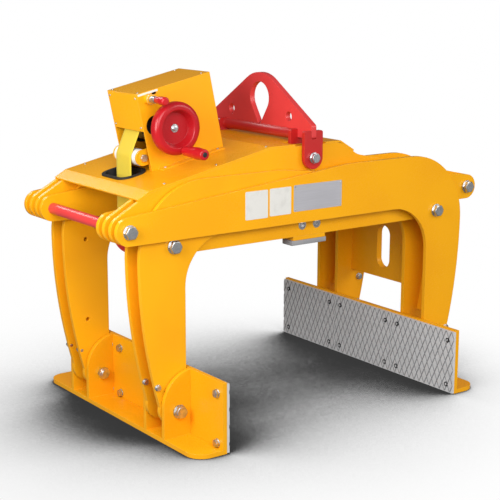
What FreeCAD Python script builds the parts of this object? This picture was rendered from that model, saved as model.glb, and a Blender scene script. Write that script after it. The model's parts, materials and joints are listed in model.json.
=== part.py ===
import FreeCAD, Part
import math
import os

os.makedirs("parts", exist_ok=True)

# All lengths are millimetres and all angles degrees.
# X runs along the beam, Y to the back, Z up; the feet stand on zero height.

# Fits between pieces
running_gap = 0.05
seat_gap = 0.3
rest_gap = 1.0

# Plate layers: front and back boxes of six plates each
plate_t = 12.0
plate_gap = 2.5
frame_spread = 32.0
box_mid_y = 200.0

# Hexagon bolts, as shares of the shank radius
flat_share = 1.5
head_share = 1.3
crown_share = 0.95
crown_fall_share = 0.58
tail_share = 0.3
washer_share = 1.85
washer_t = 3.0
low_head_t = 2.0
low_washer_share = 0.45

# End knuckles of the frame
knuckle_x = 586.0
knuckle_z = 568.0
knuckle_r = 36.0
knuckle_bolt_r = 10.0
knuckle_bar_r = 15.0
spacer_r = 21.0

# Arms
arm_top_z = 678.0
crown_x = 113.0
crown_r = 220.0
corner_r = 195.0
leg_out_x = 550.0
leg_arc_r = 1407.0
leg_end_z = 95.0
leg_end_drop = 36.0
leg_in_x = 415.0
arch_r = 130.0
corner_bolt_x = 449.0
corner_bolt_z = 513.0
corner_bolt_r = 10.0
leg_bolt_x = 503.0
leg_bolt_z = 151.0
leg_bolt_r = 4.5
spare_hole_x = 482.0
spare_hole_low_z = 239.0
spare_hole_high_z = 468.0
spare_hole_r = 6.0
web_t = 8.0
web_recess = 40.0
web_top_z = 495.0
web_low_a_z = 192.0
web_low_b_z = 130.0
sync_z = 642.0
sync_stud_r = 8.0
sync_stud_long = 13.0
sync_slot_r = 12.5
sync_slot_half = 15.5

# Tie plate of arm A, with its hand slot
tie_x = 484.0
tie_t = 20.0
tie_low_z = 257.0
tie_top_z = 500.0
slot_r = 29.0
slot_low_z = 289.0
slot_top_z = 424.0

# Jaws
jaw_pin_x = 447.0
jaw_pin_z = 80.0
jaw_pin_r = 10.0
pad_face_x = 392.0
pad_t = 8.0
pad_low_z = 2.0
pad_top_z = 185.0
jaw_plate_t = 12.0
jaw_half_y = 400.0
foot_out_x = 493.0
foot_t = 12.0
foot_corner_r = 45.0
ear_centre_x = 399.0
ear_r = 94.0

# Frame plates
frame_low_z = 488.0
frame_low_x = 395.0
neck_x = 430.0
neck_r = 18.0
bend_x = 506.0
bend_z = 654.0
bend_r = 12.0
deck_angle = 12.2
plateau_z = 735.0
plateau_end_x = 105.0
knee_x = 168.0
knee_z = 697.0
top_edge_r = 50.0

# Deck sheet
deck_t = 5.0
deck_flange = 38.0
deck_tail_share = 0.75
hanger_notch_x = 52.0
hanger_notch_y = 159.0

# Strap opening in the deck and its rubber edge ring
strap_hole_u = -43.0
ring_half_u = 34.0
ring_half_y = 56.0
ring_corner_r = 24.0
ring_wall = 5.0
ring_lip = 5.0
ring_lip_t = 4.0
ring_deep = 25.0

# Load stops
stop_half_x = 55.0
stop_low_z = 477.0
stop_top_z = 540.0
stop_bolt_x = 25.0
stop_bolt_z = 518.0
stop_bolt_r = 7.0
stop_pad_half_x = 60.0
stop_pad_half_y = 22.0
stop_pad_t = 14.0

# Bail
bail_z = 702.0
bail_bolt_r = 8.0
hanger_half_x = 31.0
hanger_high = 73.0
hanger_tip_r = 6.0
bail_t = 16.0
bail_seat = 23.0
bail_high = 165.0
bail_end_high = 37.0
bail_crown_r = 110.0
bail_end_r = 8.0
eye_drop = 70.0
eye_long = 64.0
eye_top_r = 44.0
eye_low_r = 9.0
bail_hole_r = 13.5
bail_hole_y = 135.0
bail_hole_high = 53.0
bail_bar_r = 13.0
bail_bar_high = 11.0

# Winch housing; u runs up along the deck and v square to it
box_x = -410.0
box_long = 231.0
box_high = 208.0
box_half_y = 75.0
sheet_t = 3.0
end_panel_low_v = 108.0
base_flange = 22.0
base_flange_start = 20.0
base_flange_end = 11.0
shaft_u = 66.0
shaft_v = 104.0
shaft_r = 8.0
shaft_proud = 7.0
front_opening_u = 36.0
front_opening_v = 116.0
front_opening_r = 26.0
bearing_r = 30.0
bearing_t = 8.0
boss_r = 16.0
boss_long = 7.0
spool_core_r = 20.0
spool_flange_r = 52.0
spool_flange_t = 4.0
strap_roll_r = 45.0

# Handwheel and crank handle
wheel_r = 70.0
rim_wide = 34.0
dish_r = 49.0
dish_edge_r = 4.0
dish_floor_r = 41.0
dish_deep = 22.0
dish_t = 6.0
rim_back_r = 50.0
rim_edge_r = 13.0
hub_r = 17.0
hub_gap = 4.0
hub_long = 20.0
crank_x = 16.0
crank_drop = 57.5
crank_pin_r = 6.0
crank_pin_long = 82.0
handle_long = 95.0
handle_base_r = 12.0
handle_tip_r = 16.0
handle_neck_r = 14.0
handle_round = 4.0
handle_gap = 0.8

# Lock plunger
lock_u = 30.0
lock_v = 189.0
lock_pin_r = 4.0
lock_pin_deep = 13.0
lock_bush_r = 13.0
lock_bush_long = 17.0
lock_barrel_r = 9.0
lock_barrel_long = 24.0
lock_knob_r = 11.0
lock_knob_neck_r = 8.0
lock_knob_gap = 2.0
lock_knob_long = 45.0
lock_knob_cap = 13.0
lock_slot_u = 52.0
lock_slot_v = 198.0
lock_slot_long = 14.0
lock_slot_high = 6.0

# Strap, guide roller and sheave
strap_half_y = 37.5
strap_t = 3.0
strap_split_z = 650.0
roller_x = -428.0
roller_z = 716.0
roller_r = 22.0
roller_side_gap = 2.0
roller_pin_r = 6.0
cheek_r = 21.0
cheek_inset = 18.0
cheek_t = 6.0
cheek_foot_u = 5.0
cheek_foot_end_u = 40.0
sheave_x = -393.0
sheave_z = 509.0
sheave_flange_r = 72.0
sheave_flange_t = 4.0
sheave_half_y = 45.0
sheave_shaft_r = 12.0
sheave_collar_r = 18.0
sheave_collar_t = 10.0
anchor_half_u = 9.0
anchor_deep = 30.0
anchor_half_y = 47.0

# Values that follow from the sizes above
vector = FreeCAD.Vector
pitch = plate_t + plate_gap
offset_f = frame_spread / 2
offset_b = offset_f + pitch
offset_a = offset_b + pitch
half_t = plate_t / 2
beam_low_z = knuckle_z - knuckle_r
corner_z = arm_top_z - corner_r
arch_x = leg_in_x - arch_r
arch_z = beam_low_z - arch_r
stop_bush_r = beam_low_z - corner_bolt_z - seat_gap
slope = math.radians(deck_angle)
plateau_start_x = (plateau_z - bend_z) / math.tan(slope) - bend_x
deck_top_z = bend_z + (box_x + bend_x) * math.tan(slope) + deck_t / math.cos(slope)
jaw_back_x = pad_face_x + pad_t + jaw_plate_t
strap_in_x = roller_x - roller_r
sheave_r = sheave_x - strap_in_x
base_flange_end_u = box_long - base_flange_end
shaft_back_y = box_half_y + shaft_proud
boss_y = -box_half_y - boss_long
hub_back_y = boss_y - hub_gap
wheel_back_y = hub_back_y - hub_long
wheel_front_y = wheel_back_y - rim_wide
dish_y = wheel_front_y + dish_deep
crank_pin_end_y = wheel_front_y - crank_pin_long
handle_end_y = wheel_front_y - handle_long
lock_pin_in_y = -box_half_y + lock_pin_deep
lock_bush_y = -box_half_y - lock_bush_long
lock_barrel_y = lock_bush_y - lock_barrel_long
lock_knob_y = lock_barrel_y - lock_knob_gap
lock_knob_end_y = lock_knob_y - lock_knob_long
lock_pin_out_y = lock_knob_end_y + lock_knob_cap
cheek_y = box_half_y - sheet_t - cheek_inset
roller_half_y = cheek_y - roller_side_gap
hanger_top_z = bail_z + hanger_high
bail_low_z = hanger_top_z - bail_seat
bail_top_z = bail_low_z + bail_high
eye_top_z = bail_top_z - eye_drop
eye_low_z = eye_top_z - eye_long
bail_hole_z = bail_low_z + bail_hole_high
bail_bar_z = bail_low_z + bail_bar_high
half_turn = 180.0


# Plane outlines
def at(a, b, radius=0.0):
    return ("corner", (a, b), radius)


def via(a, b):
    return ("via", (a, b), 0.0)


def unit(start, end):
    long = math.dist(start, end)
    return ((end[0] - start[0]) / long, (end[1] - start[1]) / long)


def round_corner(before, here, after, radius):
    # Gives the start, middle and end of the arc that rounds one corner.
    back = unit(here, before)
    ahead = unit(here, after)
    half = math.acos(back[0] * ahead[0] + back[1] * ahead[1]) / 2
    run = radius / math.tan(half)
    start = (here[0] + back[0] * run, here[1] + back[1] * run)
    end = (here[0] + ahead[0] * run, here[1] + ahead[1] * run)
    between = unit((0.0, 0.0), (back[0] + ahead[0], back[1] + ahead[1]))
    reach = radius / math.sin(half) - radius
    middle = (here[0] + between[0] * reach, here[1] + between[1] * reach)
    return start, middle, end


def face(steps, place):
    # Joins corners by lines, or by an arc where a via point stands between two.
    count = len(steps)
    ends = []
    for index, (kind, here, radius) in enumerate(steps):
        if kind == "via" or radius == 0.0:
            ends.append((here, None, here))
            continue
        before = steps[index - 1][1]
        after = steps[(index + 1) % count][1]
        ends.append(round_corner(before, here, after, radius))
    edges = []
    for index in range(count):
        if steps[index][0] == "via":
            continue
        start, middle, end = ends[index]
        if middle is not None:
            edges.append(Part.Arc(place(*start), place(*middle), place(*end)).toShape())
        following = (index + 1) % count
        if steps[following][0] == "via":
            landing = ends[(index + 2) % count][0]
            bulge = ends[following][0]
            edges.append(Part.Arc(place(*end), place(*bulge), place(*landing)).toShape())
        elif math.dist(end, ends[following][0]) > running_gap:
            edges.append(Part.LineSegment(place(*end), place(*ends[following][0])).toShape())
    return Part.Face(Part.Wire(edges))


def plate(steps, y_from, y_to, turn=1.0):
    # A plate lying in X and Z; turn of minus one mirrors it left to right.
    flat = face(steps, lambda a, b: vector(turn * a, y_from, b))
    return flat.extrude(vector(0, y_to - y_from, 0))


def cross_plate(steps, x_from, x_to):
    # A plate lying in Y and Z.
    flat = face(steps, lambda a, b: vector(x_from, a, b))
    return flat.extrude(vector(x_to - x_from, 0, 0))


def ground_plate(steps, z_from, z_to):
    # A plate lying in X and Y.
    flat = face(steps, lambda a, b: vector(a, b, z_from))
    return flat.extrude(vector(0, 0, z_to - z_from))


def on_deck(u, v):
    x = box_x + u * math.cos(slope) - v * math.sin(slope)
    z = deck_top_z + u * math.sin(slope) + v * math.cos(slope)
    return (x, z)


def deck_side(steps, y_from, y_to):
    # A plate standing on the deck, drawn in u and v.
    flat = face(steps, lambda u, v: vector(on_deck(u, v)[0], y_from, on_deck(u, v)[1]))
    return flat.extrude(vector(0, y_to - y_from, 0))


def deck_pad(steps, v_from, v_to):
    # A plate lying along the deck, drawn in u and Y.
    flat = face(steps, lambda u, y: vector(on_deck(u, v_from)[0], y, on_deck(u, v_from)[1]))
    rise = v_to - v_from
    return flat.extrude(vector(-rise * math.sin(slope), 0, rise * math.cos(slope)))


def box_steps(a_from, b_from, a_to, b_to, radius=0.0):
    return [at(a_from, b_from, radius), at(a_to, b_from, radius),
            at(a_to, b_to, radius), at(a_from, b_to, radius)]


def rod(x, z, radius, y_from, y_to):
    return Part.makeCylinder(radius, y_to - y_from, vector(x, y_from, z), vector(0, 1, 0))


def tube(x, z, radius, bore, y_from, y_to):
    return rod(x, z, radius, y_from, y_to).cut(rod(x, z, bore, y_from, y_to))


def hexagon(x, z, half_flat, seat_y, far_y):
    # A hexagon along Y whose corners are turned down at its far face.
    reach = half_flat / math.cos(math.radians(half_turn / 6))
    steps = []
    for index in range(6):
        turn = math.radians(index * half_turn / 3)
        steps.append(at(x + reach * math.cos(turn), z + reach * math.sin(turn)))
    crown_r = half_flat * crown_share
    wide_r = reach + washer_t
    fall = (wide_r - crown_r) * crown_fall_share
    edge_y = far_y - math.copysign(fall, far_y - seat_y)
    back_y = seat_y - (far_y - seat_y)
    cone = [at(0.0, back_y), at(wide_r, back_y), at(wide_r, edge_y), at(crown_r, far_y), at(0.0, far_y)]
    return plate(steps, seat_y, far_y).common(turned(cone, x, z))


def bolt(x, z, radius, y_in, y_out, nut=True):
    # One bolt on the back side, its head outward and its nut inward.
    head = radius * head_share
    tail = head + radius * tail_share if nut else 0.0
    body = rod(x, z, radius, y_in - tail, y_out + washer_t + head / 2)
    body = body.fuse(rod(x, z, radius * washer_share, y_out, y_out + washer_t))
    body = body.fuse(hexagon(x, z, radius * flat_share, y_out + washer_t, y_out + washer_t + head))
    if nut:
        body = body.fuse(hexagon(x, z, radius * flat_share, y_in, y_in - head))
    return body.removeSplitter()


def mirrored(shape):
    return shape.mirror(vector(0, 0, 0), vector(0, 1, 0))


def both_boxes(shapes):
    return Part.makeCompound(list(shapes) + [mirrored(shape) for shape in shapes])


def layer(offset):
    # The lower and upper Y of one plate layer in the back box.
    middle = box_mid_y + offset
    return (middle - half_t, middle + half_t)


def side_span(side, offset):
    low, high = layer(offset)
    return (low, high) if side > 0 else (-high, -low)


def bored(shape, holes):
    box = shape.BoundBox
    for x, z, radius in holes:
        shape = shape.cut(rod(x, z, radius, box.YMin - plate_t, box.YMax + plate_t))
    return shape


def tangent_corner(point, outward):
    # Where the line from a point over the top of a knuckle meets its outer upright.
    centre = (outward * knuckle_x, knuckle_z)
    span = math.dist(point, centre)
    toward = math.atan2(centre[1] - point[1], centre[0] - point[0])
    angle = toward + outward * math.asin(knuckle_r / span)
    edge_x = outward * (knuckle_x + knuckle_r)
    return (edge_x, point[1] + (edge_x - point[0]) * math.tan(angle))


def leg_edge(z, inset=0.0):
    # The X of the leg's outer arc at one height.
    reach = leg_arc_r - inset
    return leg_out_x - leg_arc_r + math.sqrt(reach ** 2 - (corner_z - z) ** 2)


# Arms
def arm_steps():
    end_x = -knuckle_x - knuckle_r
    lift = tangent_corner((crown_x, arm_top_z), -1)
    corner_x = leg_out_x - corner_r
    eighth = math.radians(half_turn / 4)
    leg_mid_z = (corner_z + leg_end_z) / 2
    return [
        at(end_x, beam_low_z, knuckle_r),
        at(lift[0], lift[1], knuckle_r),
        at(crown_x, arm_top_z, crown_r),
        at(corner_x, arm_top_z),
        via(corner_x + corner_r * math.sin(eighth), corner_z + corner_r * math.cos(eighth)),
        at(leg_out_x, corner_z),
        via(leg_edge(leg_mid_z), leg_mid_z),
        at(leg_edge(leg_end_z), leg_end_z),
        via(jaw_pin_x, jaw_pin_z - leg_end_drop),
        at(leg_in_x, jaw_pin_z),
        at(leg_in_x, arch_z),
        via(arch_x + arch_r * math.sin(eighth), arch_z + arch_r * math.cos(eighth)),
        at(arch_x, beam_low_z),
    ]


def arm_plate(turn, side, offset, more_holes):
    y_from, y_to = side_span(side, offset)
    body = plate(arm_steps(), y_from, y_to, turn)
    holes = [(-turn * knuckle_x, knuckle_z, knuckle_bolt_r + running_gap),
             (turn * corner_bolt_x, corner_bolt_z, corner_bolt_r + running_gap),
             (turn * leg_bolt_x, leg_bolt_z, leg_bolt_r + running_gap),
             (turn * jaw_pin_x, jaw_pin_z, jaw_pin_r + running_gap)]
    return bored(body, holes + more_holes)


def sync_slotted(body):
    # The obround slot in which the stud of the other arm slides.
    box = body.BoundBox
    steps = [at(-sync_slot_half, sync_z - sync_slot_r), at(sync_slot_half, sync_z - sync_slot_r),
             via(sync_slot_half + sync_slot_r, sync_z), at(sync_slot_half, sync_z + sync_slot_r),
             at(-sync_slot_half, sync_z + sync_slot_r), via(-sync_slot_half - sync_slot_r, sync_z)]
    return body.cut(plate(steps, box.YMin - plate_t, box.YMax + plate_t))


def webs(turn, offset, low_z):
    low = layer(-offset)[1]
    high = layer(offset)[0]
    middle_z = (web_top_z + low_z) / 2
    outer = web_recess
    inner = web_recess + web_t
    steps = [at(leg_edge(low_z, outer), low_z),
             via(leg_edge(middle_z, outer), middle_z),
             at(leg_edge(web_top_z, outer), web_top_z),
             at(leg_edge(web_top_z, inner), web_top_z),
             via(leg_edge(middle_z, inner), middle_z),
             at(leg_edge(low_z, inner), low_z)]
    return both_boxes([plate(steps, low, high, turn)])


def corner_bolts(turn, offset):
    inner = layer(-offset)
    outer = layer(offset)
    x = turn * corner_bolt_x
    body = bolt(x, corner_bolt_z, corner_bolt_r, inner[0], outer[1])
    bush = rod(x, corner_bolt_z, stop_bush_r, inner[1], outer[0])
    return both_boxes([body.fuse(bush)])


def leg_bolts(turn, offset):
    # A short bolt in each plate of the leg.
    spans = [layer(-offset), layer(offset)]
    x = turn * leg_bolt_x
    return both_boxes([bolt(x, leg_bolt_z, leg_bolt_r, low, high, False) for low, high in spans])


def tie_plate():
    half_y = layer(-offset_a)[0]
    body = cross_plate(box_steps(-half_y, tie_low_z, half_y, tie_top_z), tie_x - tie_t / 2, tie_x + tie_t / 2)
    steps = [at(slot_r, slot_low_z + slot_r), at(slot_r, slot_top_z - slot_r), via(0.0, slot_top_z),
             at(-slot_r, slot_top_z - slot_r), at(-slot_r, slot_low_z + slot_r), via(0.0, slot_low_z)]
    return body.cut(cross_plate(steps, tie_x - tie_t, tie_x + tie_t))


def sync_studded(body, side):
    # The stud stands on the plate's inner face and reaches into the other arm.
    face_y = layer(offset_a)[0]
    stud = rod(0.0, sync_z, sync_stud_r, face_y - sync_stud_long, face_y)
    return body.fuse(stud if side > 0 else mirrored(stud))


def sheave_shaft():
    half_y = layer(-offset_b)[1]
    body = rod(sheave_x, sheave_z, sheave_shaft_r, -half_y, half_y)
    near = sheave_half_y + rest_gap
    for low in (near, -near - sheave_collar_t):
        body = body.fuse(rod(sheave_x, sheave_z, sheave_collar_r, low, low + sheave_collar_t))
    return body.removeSplitter()


# Jaws
def jaw_pad(turn):
    body = Part.makeBox(pad_t, jaw_half_y * 2, pad_top_z - pad_low_z)
    body.translate(vector(pad_face_x if turn > 0 else -pad_face_x - pad_t, -jaw_half_y, pad_low_z))
    return body


def jaw_plate(turn):
    body = Part.makeBox(jaw_plate_t, jaw_half_y * 2, leg_end_z + ear_r)
    near = pad_face_x + pad_t
    body.translate(vector(near if turn > 0 else -near - jaw_plate_t, -jaw_half_y, 0))
    return body


def jaw_shoe(turn, offset):
    # The foot plate and the four ears that the leg's pin passes.
    steps = [at(turn * jaw_back_x, -jaw_half_y), at(turn * foot_out_x, -jaw_half_y, foot_corner_r),
             at(turn * foot_out_x, jaw_half_y, foot_corner_r), at(turn * jaw_back_x, jaw_half_y)]
    pieces = [ground_plate(steps, 0.0, foot_t)]
    lean = math.radians(half_turn / 4)
    top_z = leg_end_z + math.sqrt(ear_r ** 2 - (jaw_back_x - ear_centre_x) ** 2)
    ear = [at(jaw_back_x, foot_t), at(foot_out_x, foot_t), at(foot_out_x, leg_end_z),
           via(ear_centre_x + ear_r * math.cos(lean), leg_end_z + ear_r * math.sin(lean)),
           at(jaw_back_x, top_z)]
    hole = (turn * jaw_pin_x, jaw_pin_z, jaw_pin_r + running_gap)
    for side in (-1, 1):
        for place in (-offset, offset):
            y_from, y_to = side_span(side, place)
            pieces.append(bored(plate(ear, y_from, y_to, turn), [hole]))
    return Part.makeCompound(pieces)


def jaw_bolts(turn):
    # The pins run past the outermost plates of both leg and ears.
    inner = layer(-offset_a)[0] - seat_gap
    outer = layer(offset_a)[1] + seat_gap
    return both_boxes([bolt(turn * jaw_pin_x, jaw_pin_z, jaw_pin_r, inner, outer)])


# Frame
def frame_steps():
    end_x = knuckle_x + knuckle_r
    left = tangent_corner((-bend_x, bend_z), -1)
    right = tangent_corner((knee_x, knee_z), 1)
    return [
        at(-end_x, beam_low_z, knuckle_r),
        at(left[0], left[1], knuckle_r),
        at(-bend_x, bend_z, bend_r),
        at(plateau_start_x, plateau_z, top_edge_r),
        at(plateau_end_x, plateau_z, top_edge_r),
        at(knee_x, knee_z, top_edge_r),
        at(right[0], right[1], knuckle_r),
        at(end_x, beam_low_z, knuckle_r),
        at(neck_x, beam_low_z, neck_r),
        at(frame_low_x, frame_low_z, neck_r),
        at(-frame_low_x, frame_low_z, neck_r),
        at(-neck_x, beam_low_z, neck_r),
    ]


def frame_plate(side, offset):
    y_from, y_to = side_span(side, offset)
    holes = [(0.0, bail_z, bail_bolt_r + running_gap)]
    for turn in (-1, 1):
        holes.append((turn * knuckle_x, knuckle_z, knuckle_bolt_r + running_gap))
        holes.append((turn * stop_bolt_x, stop_bolt_z, stop_bolt_r + running_gap))
    return bored(plate(frame_steps(), y_from, y_to), holes)


def deck_plate():
    # A bent sheet that follows the top edges of the frame plates.
    left = tangent_corner((-bend_x, bend_z), -1)
    down = unit((-bend_x, bend_z), left)
    tail_x = plateau_end_x + (knee_x - plateau_end_x) * deck_tail_share
    tail_z = plateau_z + (knee_z - plateau_z) * deck_tail_share
    line = [(-bend_x + down[0] * deck_flange, bend_z + down[1] * deck_flange), (-bend_x, bend_z),
            (plateau_start_x, plateau_z), (plateau_end_x, plateau_z), (tail_x, tail_z)]
    raised = []
    for index, here in enumerate(line):
        before = line[max(index - 1, 0)]
        after = line[min(index + 1, len(line) - 1)]
        first = unit(before, here) if before != here else unit(here, after)
        second = unit(here, after) if after != here else first
        middle = unit((0.0, 0.0), (first[0] + second[0], first[1] + second[1]))
        reach = deck_t / (middle[0] * first[0] + middle[1] * first[1])
        raised.append((here[0] - middle[1] * reach, here[1] + middle[0] * reach))
    steps = [at(*point) for point in line + raised[::-1]]
    half_y = layer(offset_f)[1]
    body = plate(steps, -half_y, half_y)
    for low in (-half_y - plate_t, hanger_notch_y):
        notch = Part.makeBox(hanger_notch_x * 2, half_y + plate_t - hanger_notch_y, plateau_z)
        notch.translate(vector(-hanger_notch_x, low, frame_low_z))
        body = body.cut(notch)
    return body.cut(deck_pad(ring_steps(ring_wall), -deck_t * 2, deck_t))


def ring_steps(grow):
    # The outline of the strap opening, grown outward all round.
    half_u = ring_half_u + grow
    half_y = ring_half_y + grow
    return box_steps(strap_hole_u - half_u, -half_y, strap_hole_u + half_u, half_y, ring_corner_r + grow)


def strap_ring():
    # A sleeve through the deck with a lip above and below it.
    low = -deck_t - ring_deep
    body = deck_pad(ring_steps(ring_wall), low, ring_lip_t)
    body = body.fuse(deck_pad(ring_steps(ring_wall + ring_lip), 0.0, ring_lip_t))
    body = body.fuse(deck_pad(ring_steps(ring_wall + ring_lip), -deck_t - ring_lip_t, -deck_t))
    body = body.cut(deck_pad(ring_steps(0.0), low - deck_t, ring_lip_t + deck_t))
    return body.removeSplitter()


def stop_blocks():
    # A tongue between the frame plates on a wider foot below them.
    low = layer(-offset_f)
    high = layer(offset_f)
    body = plate(box_steps(-stop_half_x, stop_low_z, stop_half_x, stop_top_z), low[1], high[0])
    foot = box_steps(-stop_half_x, stop_low_z, stop_half_x, frame_low_z)
    body = body.fuse(plate(foot, low[0], high[1])).removeSplitter()
    holes = [(turn * stop_bolt_x, stop_bolt_z, stop_bolt_r + running_gap) for turn in (-1, 1)]
    return both_boxes([bored(body, holes)])


def stop_pads():
    steps = box_steps(-stop_pad_half_x, stop_low_z - stop_pad_t, stop_pad_half_x, stop_low_z)
    return both_boxes([plate(steps, box_mid_y - stop_pad_half_y, box_mid_y + stop_pad_half_y)])


def stop_bolts():
    # Low-headed, so that the arm plates pass over them.
    inner = layer(-offset_f)[0]
    outer = layer(offset_f)[1]
    pieces = []
    for turn in (-1, 1):
        x = turn * stop_bolt_x
        body = rod(x, stop_bolt_z, stop_bolt_r, inner, outer)
        for seat_y, far_y in ((inner, inner - low_head_t), (outer, outer + low_head_t)):
            middle_y = seat_y + (far_y - seat_y) * low_washer_share
            span = sorted((seat_y, middle_y))
            body = body.fuse(rod(x, stop_bolt_z, stop_bolt_r * washer_share, *span))
            body = body.fuse(hexagon(x, stop_bolt_z, stop_bolt_r * flat_share, middle_y, far_y))
        pieces.append(body.removeSplitter())
    return both_boxes(pieces)


def knuckle_bars():
    # Round bars on the knuckle axes, between the innermost arm plates.
    pieces = []
    for turn, offset in ((-1, offset_a), (1, offset_b)):
        half_y = layer(-offset)[0] - seat_gap
        pieces.append(rod(turn * knuckle_x, knuckle_z, knuckle_bar_r, -half_y, half_y))
    return Part.makeCompound(pieces)


def knuckle_bolts():
    pieces = []
    for turn, offset in ((-1, offset_a), (1, offset_b)):
        inner = layer(-offset)[0] - seat_gap
        outer = layer(offset)[1] + seat_gap
        pieces.append(bolt(turn * knuckle_x, knuckle_z, knuckle_bolt_r, inner, outer, False))
    return both_boxes(pieces)


def knuckle_spacers():
    pieces = []
    for turn, offset in ((-1, offset_a), (1, offset_b)):
        spans = [(layer(-offset)[1] + seat_gap, layer(-offset_f)[0]),
                 (layer(-offset_f)[1], layer(offset_f)[0]),
                 (layer(offset_f)[1], layer(offset)[0] - seat_gap)]
        for low, high in spans:
            bore = knuckle_bolt_r + running_gap
            pieces.append(tube(turn * knuckle_x, knuckle_z, spacer_r, bore, low, high))
    return both_boxes(pieces)


# Bail
def bail_bolts():
    # Each passes one pair of hangers and one pair of frame plates.
    inner = layer(-offset_b)[0] - seat_gap
    outer = layer(offset_b)[1] + seat_gap
    return both_boxes([bolt(0.0, bail_z, bail_bolt_r, inner, outer)])


def bail_plate():
    half_y = layer(offset_b)[1]
    # The sloping edges run from the ends to the round crown.
    end_z = bail_low_z + bail_end_high
    rise = bail_top_z - bail_crown_r - end_z
    lean = math.atan2(rise, half_y) + math.asin(bail_crown_r / math.hypot(rise, half_y))
    apex_z = end_z + half_y * math.tan(lean)
    steps = [at(-half_y, bail_low_z, bail_end_r), at(half_y, bail_low_z, bail_end_r),
             at(half_y, end_z, bail_end_r), at(0.0, apex_z, bail_crown_r), at(-half_y, end_z, bail_end_r)]
    body = cross_plate(steps, -bail_t / 2, bail_t / 2)
    swing = math.asin((eye_top_r - eye_low_r) / (eye_top_z - eye_low_z))
    side_y = math.cos(swing)
    side_z = -math.sin(swing)
    eye = [at(eye_top_r * side_y, eye_top_z + eye_top_r * side_z), via(0.0, eye_top_z + eye_top_r),
           at(-eye_top_r * side_y, eye_top_z + eye_top_r * side_z),
           at(-eye_low_r * side_y, eye_low_z + eye_low_r * side_z), via(0.0, eye_low_z - eye_low_r),
           at(eye_low_r * side_y, eye_low_z + eye_low_r * side_z)]
    body = body.cut(cross_plate(eye, -bail_t, bail_t))
    for side in (-1, 1):
        start = vector(-bail_t, side * bail_hole_y, bail_hole_z)
        body = body.cut(Part.makeCylinder(bail_hole_r, bail_t * 2, start, vector(1, 0, 0)))
    return body.cut(bail_bar())


def bail_bar():
    half_y = layer(-offset_b)[0]
    return rod(0.0, bail_bar_z, bail_bar_r, -half_y, half_y)


def bail_hangers():
    # Forked plates; the bail plate's ends sit between their prongs.
    half_slot = bail_t / 2
    steps = [at(-hanger_half_x, bail_z), via(0.0, bail_z - hanger_half_x), at(hanger_half_x, bail_z),
             at(hanger_half_x, hanger_top_z, hanger_tip_r), at(half_slot, hanger_top_z),
             at(half_slot, bail_low_z), at(-half_slot, bail_low_z),
             at(-half_slot, hanger_top_z), at(-hanger_half_x, hanger_top_z, hanger_tip_r)]
    pieces = []
    for offset in (-offset_b, offset_b):
        low, high = layer(offset)
        pieces.append(bored(plate(steps, low, high), [(0.0, bail_z, bail_bolt_r + running_gap)]))
    return both_boxes(pieces)


# Winch
def winch_side(side):
    outer = box_half_y
    inner = box_half_y - sheet_t
    y_from, y_to = (inner, outer) if side > 0 else (-outer, -inner)
    body = deck_side(box_steps(0.0, 0.0, box_long, box_high), y_from, y_to)
    far = outer + base_flange
    span = (outer, far) if side > 0 else (-far, -outer)
    steps = box_steps(base_flange_start, span[0], base_flange_end_u, span[1])
    body = body.fuse(deck_pad(steps, 0.0, sheet_t)).removeSplitter()
    shaft = on_deck(shaft_u, shaft_v)
    if side > 0:
        return bored(body, [(shaft[0], shaft[1], shaft_r + running_gap)])
    half_u = lock_slot_long / 2
    half_v = lock_slot_high / 2
    slot = box_steps(lock_slot_u - half_u, lock_slot_v - half_v, lock_slot_u + half_u, lock_slot_v + half_v)
    body = body.cut(deck_side(slot, y_from - sheet_t, y_to + sheet_t))
    lock = on_deck(lock_u, lock_v)
    opening = on_deck(front_opening_u, front_opening_v)
    return bored(body, [(*shaft, boss_r + running_gap), (*opening, front_opening_r),
                        (*lock, lock_pin_r + running_gap)])


def winch_cover():
    # One bent sheet that closes the top and the far end.
    half_y = box_half_y - sheet_t
    top = box_high - sheet_t
    far = box_long - sheet_t
    steps = [at(0.0, top), at(far, top), at(far, 0.0), at(box_long, 0.0),
             at(box_long, box_high), at(0.0, box_high)]
    return deck_side(steps, -half_y, half_y)


def winch_end_panel():
    half_y = box_half_y - sheet_t
    return deck_side(box_steps(0.0, end_panel_low_v, sheet_t, box_high - sheet_t), -half_y, half_y)


def winch_bearing():
    x, z = on_deck(shaft_u, shaft_v)
    back = -box_half_y + sheet_t
    body = rod(x, z, bearing_r, back, back + bearing_t)
    body = body.fuse(rod(x, z, boss_r, boss_y, back + bearing_t))
    return body.cut(rod(x, z, shaft_r + running_gap, boss_y - bearing_t, back + bearing_t * 2))


def winch_shaft():
    x, z = on_deck(shaft_u, shaft_v)
    return rod(x, z, shaft_r, dish_y, shaft_back_y)


def strap_spool():
    x, z = on_deck(shaft_u, shaft_v)
    inner = strap_half_y + rest_gap
    outer = inner + spool_flange_t
    body = rod(x, z, spool_core_r, -inner, inner)
    for low in (-outer, inner):
        body = body.fuse(rod(x, z, spool_flange_r, low, low + spool_flange_t))
    return body.cut(rod(x, z, shaft_r, -outer, outer)).removeSplitter()


def strap_roll():
    x, z = on_deck(shaft_u, shaft_v)
    return tube(x, z, strap_roll_r - seat_gap, spool_core_r, -strap_half_y, strap_half_y)


def turned(steps, x, z):
    # A turned piece about an axis along Y, drawn in radius and Y.
    flat = face(steps, lambda radius, y: vector(radius, y, 0))
    body = flat.revolve(vector(0, 0, 0), vector(0, 1, 0), half_turn * 2)
    body.translate(vector(x, 0, z))
    return body


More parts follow.
